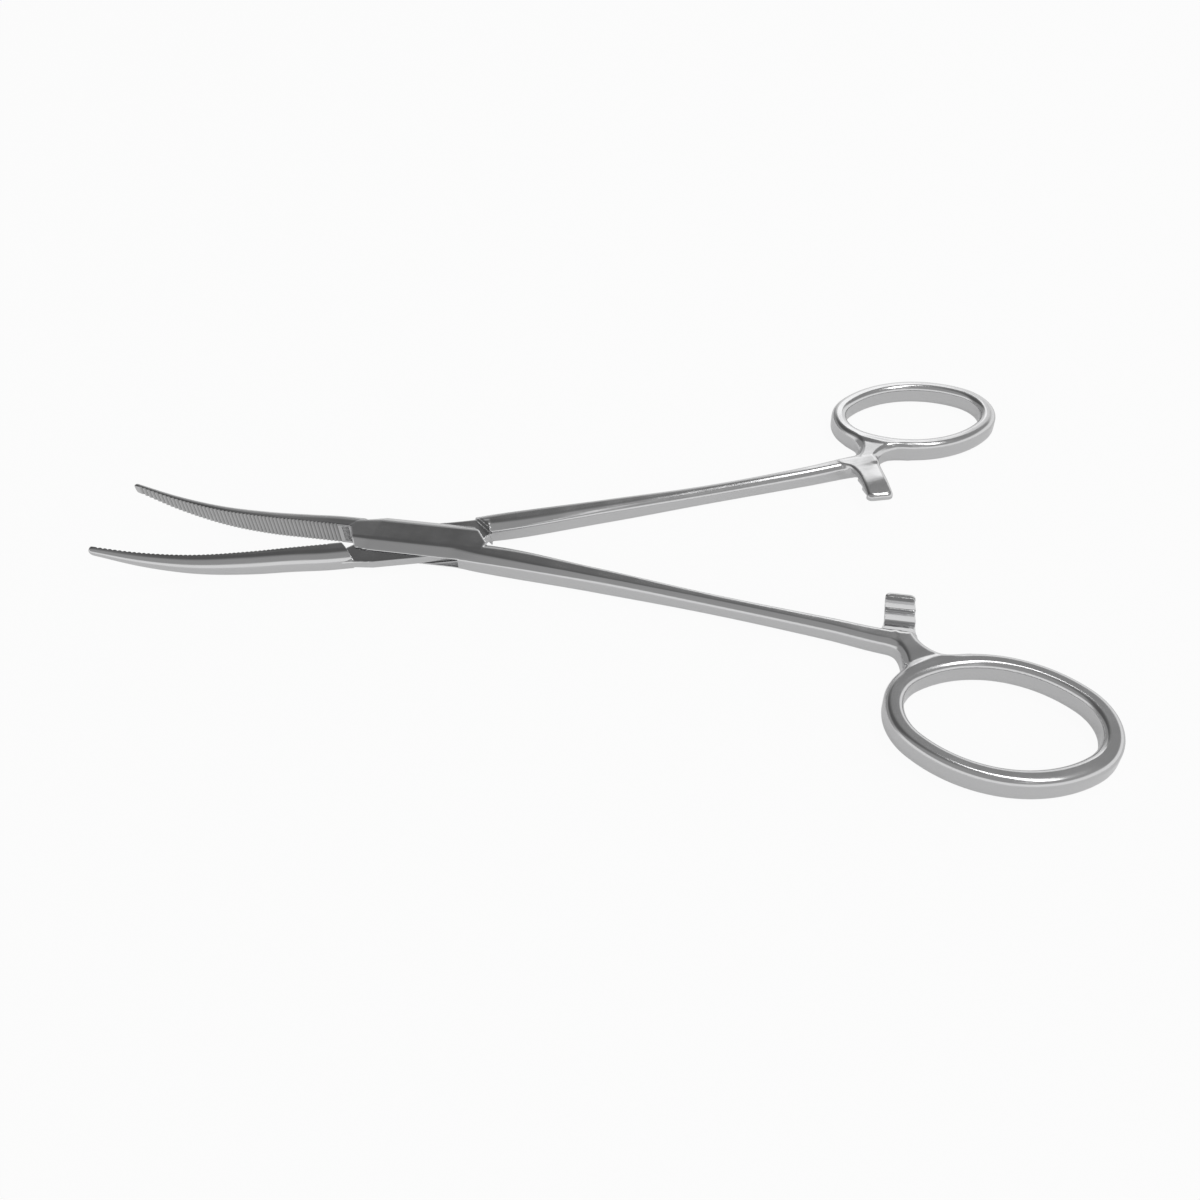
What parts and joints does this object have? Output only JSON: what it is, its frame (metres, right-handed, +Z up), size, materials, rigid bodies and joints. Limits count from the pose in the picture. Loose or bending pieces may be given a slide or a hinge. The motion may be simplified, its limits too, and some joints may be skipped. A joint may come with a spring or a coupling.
{
  "type": "hemostat forceps",
  "caption": "Curved locking hemostat forceps with box lock joint, cross-serrated jaws, finger rings and ratchet arms.",
  "frame": {"origin": "on the joint's axis, at the flat underside of the box lock", "axes": "+X from the joint to the finger rings along the line midway between the halves, +Y towards the tongue half's ring, +Z up, the way the jaws curve"},
  "size_m": [0.1534, 0.0964, 0.008],
  "materials": {
    "polished_steel": "mirror-polished stainless steel",
    "pin_steel": "stainless steel, ground flush and polished with the box"
  },
  "bodies": {
    "box_half_body": {"box_half": "polished_steel", "joint_pin": "pin_steel"},
    "tongue_half_body": {"tongue_half": "polished_steel"}
  },
  "joints": [
    {"name": "box_lock", "type": "hinge", "parent": "box_half_body", "child": "tongue_half_body", "pos_m": [0, 0, 0.002], "axis": [0, 0, 1], "range_deg": [-17.7, 42.3]}
  ]
}
